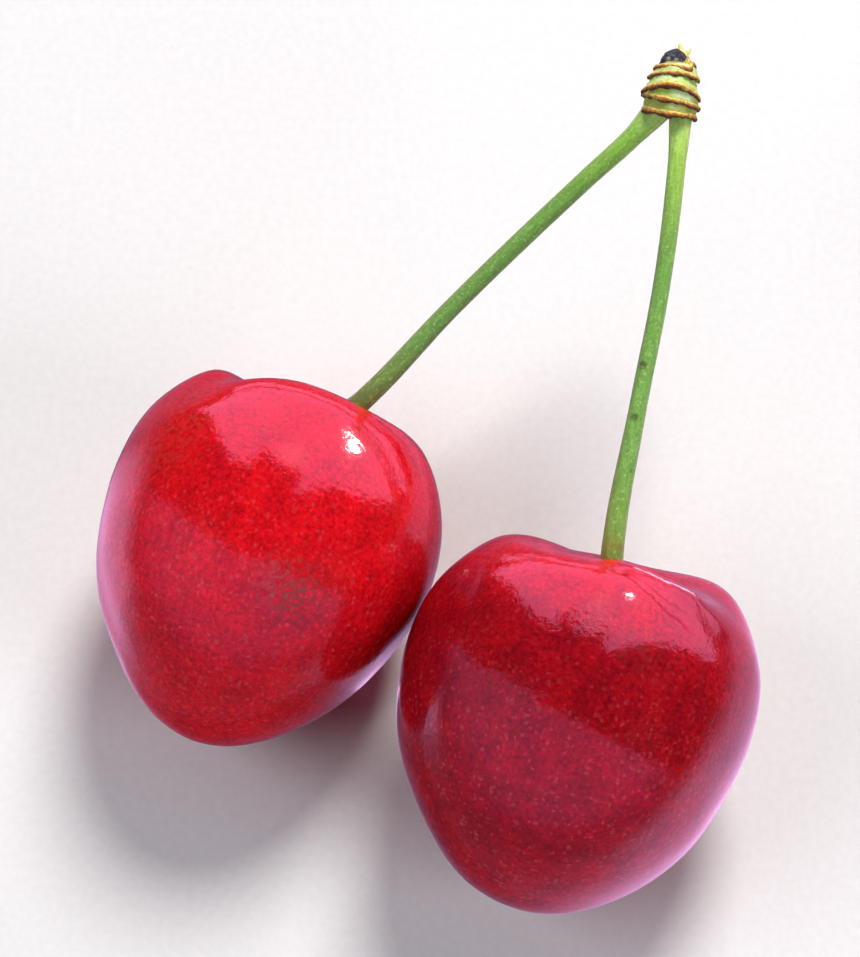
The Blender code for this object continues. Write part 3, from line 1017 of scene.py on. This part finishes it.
# %% Draw both stalks
left_stalk = draw_stalk(
    "stalk_left",
    stalk_places(
        left_place, left_pit,
        ((-4.3, 6.75, 13.3), (1.95, 12.5, 16.4), (10.9, 19.9, 20.9), (14.25, 22.55, 22.5)),
        (-0.72, 0.0, 0.30),
    ),
    (1.0, 0.80, 0.74, 0.64, 0.65, 0.70, 0.98),
)
right_stalk = draw_stalk(
    "stalk_right",
    stalk_places(
        right_place, right_pit,
        ((12.65, -5.25, 15.75), (14.35, 3.8, 18.95), (16.1, 12.4, 21.1), (17.2, 20.6, 22.8)),
        (0.78, 0.0, 0.30),
    ),
    (1.05, 0.86, 0.77, 0.61, 0.59, 0.62, 0.82),
)
for stalk, node in ((left_stalk, "left_stalk"), (right_stalk, "right_stalk")):
    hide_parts(node)
    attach(stalk, "root")
    print(node, "has", len(stalk.data.polygons), "faces")

# %% [markdown]
# ## Stalk skin
#
# A fresh stalk is green with a fine grain that runs along it, yellower at the
# knob and browner in the hollow of the fruit.  The pattern needs to know which
# way is along, so its coordinates are turned until their Z follows the
# straight line between the stalk's two ends, measured from the foot.  Noise
# stretched along that Z makes the grain, and round specks lie over it.

# %% Make the stalk skin
WANDER = 0.05
STALK_GRAIN_SIZE, SPECK_SIZE = 0.22 * MM, 0.20 * MM
PALE_SPECK, DARK_SPECK = (0.52, 0.70, 0.22), (0.07, 0.17, 0.03)
STALK_RIDGE_SIZE, STALK_RIDGE_DEPTH = 0.30 * MM, 0.06 * MM


def stalk_skin(name, start, end, tones, spots):
    """Skin of a stalk; tones run from foot to knob, a spot is (point, reach, tint, strength)."""
    green = Finish(name)
    line = end - start
    own = green.own_frame(start, line.to_track_quat("Z", "Y").to_euler())
    share = green.maths("DIVIDE", green.split(own)[2], line.length)
    wander = green.maths("MULTIPLY_ADD", green.noise(2 * MM, 3), 2 * WANDER, -WANDER)
    colour = green.ramp(green.maths("ADD", share, wander), *tones)

    grain = green.noise(STALK_GRAIN_SIZE, 4, 0.65, vector=green.drawn_out(0.16, own))
    colour = green.mix(0.85, colour, green.ramp(grain, (0.3, 0.70), (0.7, 1.26)), how="MULTIPLY")
    speck = green.noise(SPECK_SIZE, 3, 0.7, vector=own)
    colour = green.mix(green.span(speck, 0.54, 0.68, 0.0, 0.42), colour, PALE_SPECK)
    colour = green.mix(green.span(speck, 0.44, 0.32, 0.0, 0.50), colour, DARK_SPECK)
    for point, reach, tint, strength in spots:
        near = green.span(green.distance(Vector(point) * MM), reach * MM, 0.4 * reach * MM, 0.0, strength)
        ragged = green.span(green.noise(0.25 * MM, 4, 0.7), 0.32, 0.52)
        colour = green.mix(green.maths("MULTIPLY", near, ragged), colour, tint)

    ridges = green.noise(STALK_RIDGE_SIZE, 3, 0.6, vector=green.drawn_out(0.08, own))
    relief = green.bump(ridges, STALK_RIDGE_DEPTH, 0.6)
    relief = green.bump(speck, 0.02 * MM, 0.6, after=relief)
    dullness = green.ramp(grain, (0.3, 0.62), (0.7, 0.44))
    green.wear(Base_Color=colour, Normal=relief, Roughness=dullness, Sheen_Weight=0.15)
    return green.material


knob_end = knob_place.translation
left_stalk.data.materials.append(
    stalk_skin(
        "stalk_skin_left", left_place @ left_pit, knob_end,
        (
            (0.00, (0.16, 0.10, 0.03)), (0.12, (0.12, 0.19, 0.045)), (0.30, (0.115, 0.27, 0.055)),
            (0.75, (0.13, 0.31, 0.045)), (0.90, (0.20, 0.42, 0.045)), (0.98, (0.34, 0.55, 0.13)),
        ),
        (),
    )
)
right_stalk.data.materials.append(
    stalk_skin(
        "stalk_skin_right", right_place @ right_pit, knob_end,
        (
            (0.00, (0.16, 0.11, 0.03)), (0.12, (0.17, 0.33, 0.05)), (0.30, (0.15, 0.34, 0.062)),
            (0.70, (0.125, 0.31, 0.05)), (0.90, (0.27, 0.49, 0.062)), (0.98, (0.38, 0.58, 0.13)),
        ),
        (
            ((14.66, 6.53, 20.28), 0.40, (0.05, 0.06, 0.02), 0.9),
            ((14.12, 3.12, 19.37), 0.36, (0.05, 0.06, 0.02), 0.85),
            ((13.85, -0.37, 18.31), 0.20, (0.07, 0.09, 0.03), 0.7),
            ((12.70, -4.85, 16.70), 0.70, (0.22, 0.15, 0.04), 0.5),
            ((13.27, -5.17, 16.31), 0.45, (0.20, 0.13, 0.04), 0.6),
        ),
    )
)
for stalk in (left_stalk, right_stalk):
    print(stalk.name, "wears", stalk.data.materials[0].name)

# %% [markdown]
# ## Bud scales: one collar
#
# The knob is a short spur wrapped in five bud scales, each a thin collar whose
# lower rim is thick, brown and corky.  One collar is a circle extruded ring by
# ring: round the bead of the rim, up the pale outside, over the hidden top and
# back down the inside to meet its own start.  While the collar is still level,
# each point's height above the rim is written to an attribute, so the brown
# can follow the rim after the left, front and right have been dragged to their
# own heights.

# %% Build a collar
SCALE_SIDES = 64
SCALE_DRAG_REACH = 2.7 * MM
RIM_BEADS = 2.2
LEAST_CORK = 0.15


def pull_where(piece, wanted, shift, reach):
    """Drag every point that passes a test; its surroundings follow."""
    chosen = [vertex.index for vertex in piece.data.vertices if wanted(vertex.co)]
    pull(piece, chosen, shift, reach)


def collar_outline(slope, drop, tall, bead):
    """Heights above the rim and swellings out from its radius, once round the wall."""
    # Round the bead of the rim.
    outline = [
        (-0.02, -0.85 * bead), (-0.7 * bead, -0.35 * bead), (-0.8 * bead, 0.10 * bead),
        (-0.4 * bead, 0.42 * bead), (0.3 * bead, 0.55 * bead), (1.0 * bead, 0.38 * bead),
        (1.6 * bead, 0.08 * bead), (2.1 * bead, -0.10 * bead),
    ]
    # Up the outside, over the top and down the inside.
    for share in (0.35, 0.6, 0.8, 1.0):
        outline.append((share * tall, slope * share * tall - 0.05 * share))
    outline.append((tall + 0.08, drop - 0.20))
    for share in (0.7, 0.3):
        outline.append((share * tall, slope * share * tall - 0.24))
    outline.append((0.06, -1.6 * bead))
    outline.append(outline[0])
    return outline


def build_collar(name, radius, top_radius, back, left, front, right, tall, bead):
    """Collar with its rim at the given heights; all sizes in millimetres."""
    outline = collar_outline((top_radius - radius) / tall, top_radius - radius, tall, bead)
    height, swell = outline[0]
    deselect_all()
    bpy.ops.mesh.primitive_circle_add(
        vertices=SCALE_SIDES, radius=(radius + swell) * MM, location=(0, 0, (back + height) * MM)
    )
    collar = bpy.context.object
    collar.name = name
    bpy.ops.object.transform_apply(location=True)
    edit_all()
    for (low, thin), (high, wide) in zip(outline, outline[1:]):
        bpy.ops.mesh.extrude_region_move(TRANSFORM_OT_translate={"value": (0, 0, (high - low) * MM)})
        grow = (radius + wide) / (radius + thin)
        bpy.ops.transform.resize(value=(grow, grow, 1))
    bpy.ops.mesh.select_all(action="SELECT")
    bpy.ops.mesh.remove_doubles(threshold=MERGE_WITHIN)
    bpy.ops.mesh.normals_make_consistent(inside=False)
    stop_editing()
    mark_rim(collar, back, bead)
    for side, height in (((-1, 0), left), ((0, -1), front), ((1, 0), right)):
        def on_side(place, side=side):
            flat = Vector((place.x, place.y)).normalized()
            return flat.dot(Vector(side)) > 0.995
        pull_where(collar, on_side, (0, 0, (height - back) * MM), SCALE_DRAG_REACH)
    return collar


def mark_rim(collar, back, bead):
    """Write each point's height above the rim, and how corky it is, into the mesh."""
    heights = [vertex.co.z / MM - back for vertex in collar.data.vertices]
    collar.data.attributes.new("above_rim", "FLOAT", "POINT").data.foreach_set("value", heights)
    rim_group = collar.vertex_groups.new(name="rim")
    for index, height in enumerate(heights):
        corkiness = 1.0 - max(0.0, height) / (RIM_BEADS * bead)
        rim_group.add([index], max(LEAST_CORK, corkiness), "REPLACE")


print("a collar has", SCALE_SIDES, "sides")

# %% [markdown]
# ## Bud scales: the five of them
#
# Each row below is one scale from the foot of the knob up, in millimetres: its
# two radii, the height of its rim at the back, left, front and right, how tall
# it is and how thick its bead.  Two Displace modifiers, one slow and one
# fine, make the bead wavy and corky, and the group "rim" holds them back on the
# smooth wall.  The last scale is torn, so its right side is pulled to a point.

# %% Build the five scales
COLLARS = (
    dict(radius=1.84, top_radius=1.90, back=0.00, left=0.02, front=0.00, right=-0.06, tall=0.95, bead=0.15),
    dict(radius=1.91, top_radius=1.86, back=0.80, left=1.02, front=0.92, right=0.62, tall=0.85, bead=0.13),
    dict(radius=1.94, top_radius=1.50, back=1.10, left=1.25, front=1.97, right=1.17, tall=1.10, bead=0.14),
    dict(radius=1.68, top_radius=1.42, back=2.20, left=2.20, front=2.74, right=2.42, tall=0.72, bead=0.13),
    dict(radius=1.44, top_radius=1.10, back=2.68, left=2.72, front=3.16, right=2.80, tall=0.36, bead=0.13),
)
TORN_RISE = (-0.22, 0.0, 0.50)
TORN_REACH = 0.75 * MM
corky = cloud_texture("corky", 0.42 * MM)
waving = cloud_texture("waving", 1.3 * MM)
RIM_RELIEF = ((waving, 0.32 * MM), (corky, 0.33 * MM))


def on_torn_side(place):
    """Top edge of the last scale, where it stands up on the right."""
    return place.x > 0.92 * MM and abs(place.y) < 0.55 * MM and place.z > 3.05 * MM


collars = []
for number, sizes in enumerate(COLLARS, start=1):
    collar = build_collar(f"scale_{number}", **sizes)
    use_modifier(collar, "SUBSURF", levels=1, render_levels=1)
    for texture, depth in RIM_RELIEF:
        use_modifier(
            collar, "DISPLACE", texture=texture, strength=depth, mid_level=0.5, vertex_group="rim"
        )
    if number == len(COLLARS):
        pull_where(collar, on_torn_side, Vector(TORN_RISE) * MM, TORN_REACH)
    place_in_mesh(collar, knob_place)
    bpy.ops.object.shade_smooth()
    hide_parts(f"bud_scale_{number}")
    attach(collar, "root")
    collars.append(collar)
    print(collar.name, "has", len(collar.data.polygons), "faces")

# %% [markdown]
# ## Finish of the bud scales
#
# From the rim up the colour runs dark brown, partly painted shade under the bead, then rusty brown, a thin
# yellow line that is partly a painted highlight along the top of the bead, and then pale green.  The ramp
# reads the height stored in the mesh, shaken a little with noise so the border is ragged.  A spot on each
# scale is nearly white, a painted highlight on the front of its wall.  Round the rim a last noise burns
# some places darker and leaves others yellow.

# %% Make the scale finish
RAMP_HEIGHT = 1.2
LEVEL_SHAKE = 0.11
# The dark stop is partly painted shade under the bead; the yellow stop is partly a painted highlight along
# its top.
RIM_DARK_AND_SHADE, RIM_RUSTY, RIM_YELLOW_AND_HIGHLIGHT = (0.07, 0.026, 0.013), (0.56, 0.25, 0.05), (0.95, 0.76, 0.20)
RIM_BROWN = (0.26, 0.10, 0.03)
BURNT, UNBURNT = (0.20, 0.08, 0.03), (0.66, 0.50, 0.10)
# The second green is a painted highlight on the front of each scale.
LEAF_GREEN, HIGHLIGHT_GREEN = (0.26, 0.44, 0.05), (0.74, 0.88, 0.52)


def scale_finish(name, bead, body, top_tone, highlight_spot, highlight_reach, highlight_share):
    """Finish of one scale; its bead, spot and reach are in millimetres."""
    cork = Finish(name)
    above = cork.node("ShaderNodeAttribute", attribute_name="above_rim").outputs["Fac"]
    shake = cork.maths("MULTIPLY_ADD", cork.noise(0.35 * MM, 4, 0.65), 2 * LEVEL_SHAKE, -LEVEL_SHAKE)
    level = cork.maths("DIVIDE", cork.maths("ADD", above, shake), RAMP_HEIGHT)
    edge = bead / RAMP_HEIGHT
    colour = cork.ramp(
        level,
        (0.00, RIM_DARK_AND_SHADE), (0.35 * edge, RIM_BROWN), (1.2 * edge, RIM_RUSTY), (1.7 * edge, RIM_YELLOW_AND_HIGHLIGHT),
        (2.3 * edge, body), (0.75, body), (1.0, top_tone),
    )
    crumbs = cork.noise(0.12 * MM, 4, 0.7)
    colour = cork.mix(0.8, colour, cork.ramp(crumbs, (0.3, 0.62), (0.7, 1.32)), how="MULTIPLY")
    patches = cork.noise(0.7 * MM, 3, 0.6)
    colour = cork.mix(cork.span(patches, 0.52, 0.66, 0.0, 0.6), colour, LEAF_GREEN)

    # A painted highlight: a nearly white spot on the front of the scale's wall.
    spot = knob_place @ (Vector(highlight_spot) * MM)
    reach = highlight_reach * MM
    near = cork.span(cork.distance(spot), reach, 0.3 * reach, 0.0, highlight_share)
    stretched = cork.maths("MULTIPLY", near, cork.span(level, 2.0 * edge, 3.2 * edge))
    stretched = cork.maths("MULTIPLY", stretched, cork.span(crumbs, 0.30, 0.56, 0.45, 1.0))
    colour = cork.mix(stretched, colour, HIGHLIGHT_GREEN)

    round_rim = cork.span(level, 3.6 * edge, 1.3 * edge, 0.0, 0.8)
    burns = cork.noise(0.24 * MM, 5, 0.75)
    for low, high, tint in ((0.50, 0.60, BURNT), (0.42, 0.34, UNBURNT)):
        colour = cork.mix(cork.maths("MULTIPLY", round_rim, cork.span(burns, low, high)), colour, tint)
    relief = cork.bump(crumbs, 0.05 * MM, 0.8)
    cork.wear(Base_Color=colour, Normal=relief, Roughness=0.8, Specular_IOR_Level=0.25)
    return cork.material


# Body, top, place of the painted highlight spot, its reach and its share, for each scale.
SCALE_TONES = (
    ((0.34, 0.40, 0.08), (0.28, 0.32, 0.05), (0.3, -1.8, 0.50), 0.7, 0.25),
    ((0.38, 0.52, 0.09), (0.34, 0.42, 0.06), (0.9, -1.65, 1.35), 1.35, 0.85),
    ((0.50, 0.66, 0.20), (0.42, 0.54, 0.10), (-0.5, -1.75, 2.35), 1.3, 0.55),
    ((0.46, 0.60, 0.22), (0.38, 0.46, 0.10), (0.6, -1.35, 2.95), 1.2, 0.85),
    ((0.34, 0.27, 0.09), (0.28, 0.12, 0.03), (0.0, -1.2, 3.30), 0.5, 0.0),
)
for number, (collar, sizes, tones) in enumerate(zip(collars, COLLARS, SCALE_TONES), start=1):
    collar.data.materials.append(scale_finish(f"scale_finish_{number}", sizes["bead"], *tones))
    print(collar.name, "wears", collar.data.materials[0].name)

# %% [markdown]
# ## The core
#
# Inside the scales is a green core, which closes the knob below where the
# stalks leave it.  Little of it shows, so a ball stretched to its half sizes
# and roughened by the same slow texture as the rims is enough.

# %% Build the core
def start_ball(name, segments, rings, half_size):
    """Ball stretched to its half sizes and left open for editing."""
    deselect_all()
    bpy.ops.mesh.primitive_uv_sphere_add(segments=segments, ring_count=rings, radius=1.0)
    ball = bpy.context.object
    ball.name = name
    edit_all()
    bpy.ops.transform.resize(value=half_size)
    return ball


core = start_ball("core", 48, 24, (1.66 * MM, 1.60 * MM, 1.75 * MM))
bpy.ops.transform.translate(value=(0, 0, 1.80 * MM))
stop_editing()
use_modifier(core, "DISPLACE", texture=waving, strength=0.15 * MM, mid_level=0.5)
place_in_mesh(core, knob_place)
bpy.ops.object.shade_smooth()
pith = Finish("core_finish")
pith_tone = pith.ramp(pith.noise(0.5 * MM, 4, 0.6), (0.3, (0.30, 0.44, 0.08)), (0.7, (0.56, 0.68, 0.26)))
pith_relief = pith.bump(pith.noise(0.2 * MM, 3), 0.05 * MM, 0.6)
pith.wear(Base_Color=pith_tone, Normal=pith_relief, Roughness=0.7)
core.data.materials.append(pith.material)
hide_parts("spur_core")
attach(core, "root")
print("core has", len(core.data.polygons), "faces")

# %% [markdown]
# ## The withered tip
#
# On the end of the knob sits a shrunken blue-black bud, a wrinkled dome with
# two pale flakes on it.  It is a ball cut flat below, where the last scale
# hides it, with slow and fine wrinkles laid one over the other.  Its finish
# takes its light and dark from the same noise as its bump, so the ridges of
# the folds are the pale ones.

# %% Build the withered tip
TIP_RADIUS = 0.98 * MM
TIP_MIDDLE = Vector((-0.16, 0.0, 3.46)) * MM
FLAKES = ((-0.62, -0.72, 3.72), (-0.08, -0.94, 3.72))
wrinkles = cloud_texture("wrinkles", 0.34 * MM)

tip = start_ball("tip", 64, 40, (TIP_RADIUS, TIP_RADIUS, TIP_RADIUS))
cut_flat(-0.3 * MM)
bpy.ops.mesh.select_all(action="SELECT")
bpy.ops.transform.translate(value=TIP_MIDDLE)
stop_editing()
for texture, depth in ((waving, 0.25 * MM), (wrinkles, 0.16 * MM)):
    use_modifier(tip, "DISPLACE", texture=texture, strength=depth, mid_level=0.5)
place_in_mesh(tip, knob_place)
bpy.ops.object.shade_smooth()

char = Finish("tip_finish")
folds = char.noise(0.22 * MM, 5, 0.65)
char_tone = char.ramp(
    folds, (0.30, (0.006, 0.010, 0.012)), (0.52, (0.022, 0.036, 0.045)), (0.72, (0.15, 0.16, 0.13))
)
for flake in FLAKES:
    near = char.span(char.distance(knob_place @ (Vector(flake) * MM)), 0.24 * MM, 0.10 * MM)
    pale = char.span(char.noise(0.14 * MM, 3), 0.38, 0.52)
    char_tone = char.mix(char.maths("MULTIPLY", near, pale), char_tone, (0.24, 0.25, 0.20))
folded = char.bump(folds, 0.10 * MM, 0.9)
char.wear(Base_Color=char_tone, Normal=folded, Roughness=0.7, Specular_IOR_Level=0.15)
tip.data.materials.append(char.material)
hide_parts("withered_tip")
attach(tip, "root")
print("tip has", len(tip.data.polygons), "faces")

# %% [markdown]
# ## The torn fibre
#
# Beside the tip a strand of bark stands up, torn into two prongs and a
# splinter.  Each is a thin cone, flattened, cut into bands by a subdivide and
# bent by dragging its top.  The three are joined and given one skin by a
# voxel Remesh, because the bark is one piece.

# %% Build the torn fibre
# Foot, width, depth, height and lean of each prong, in millimetres.
PRONGS = (
    ((0.22, 0.05, 4.10), 0.30, 0.16, 0.70, -0.16),
    ((0.52, 0.02, 3.98), 0.20, 0.13, 0.50, 0.10),
    ((0.62, -0.05, 3.85), 0.13, 0.10, 0.78, 0.20),
)


def prong(foot, width, depth, height, lean):
    """One torn strand that narrows upwards and leans to one side."""
    deselect_all()
    bpy.ops.mesh.primitive_cone_add(
        vertices=10, radius1=width * MM, radius2=width * 0.45 * MM, depth=height * MM,
        location=(0, 0, 0.5 * height * MM),
    )
    strand = bpy.context.object
    bpy.ops.object.transform_apply(location=True)
    edit_all()
    bpy.ops.transform.resize(value=(1, depth / width, 1))
    bpy.ops.mesh.subdivide(number_cuts=3)
    stop_editing()
    pull_where(strand, lambda place: place.z > 0.9 * height * MM, (lean * MM, 0, 0), 0.8 * height * MM)
    place_in_mesh(strand, Matrix.Translation(Vector(foot) * MM))
    return strand


strands = [prong(*sizes) for sizes in PRONGS]
deselect_all()
for strand in strands:
    strand.select_set(True)
fibre = strands[0]
bpy.context.view_layer.objects.active = fibre
bpy.ops.object.join()
fibre.name = "fibre"
use_modifier(fibre, "REMESH", mode="VOXEL", voxel_size=0.035 * MM)
use_modifier(fibre, "DISPLACE", texture=wrinkles, strength=0.08 * MM, mid_level=0.5)
place_in_mesh(fibre, knob_place)
bpy.ops.object.shade_smooth()

bark = Finish("fibre_finish")
threads = bark.noise(0.15 * MM, 4, 0.6)
bark_tone = bark.ramp(
    threads, (0.3, (0.62, 0.46, 0.08)), (0.55, (0.86, 0.76, 0.26)), (0.75, (0.93, 0.90, 0.60))
)
bark.wear(Base_Color=bark_tone, Normal=bark.bump(threads, 0.04 * MM, 0.7), Roughness=0.75)
fibre.data.materials.append(bark.material)
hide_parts("torn_fibre")
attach(fibre, "root")
print("fibre has", len(fibre.data.polygons), "faces")
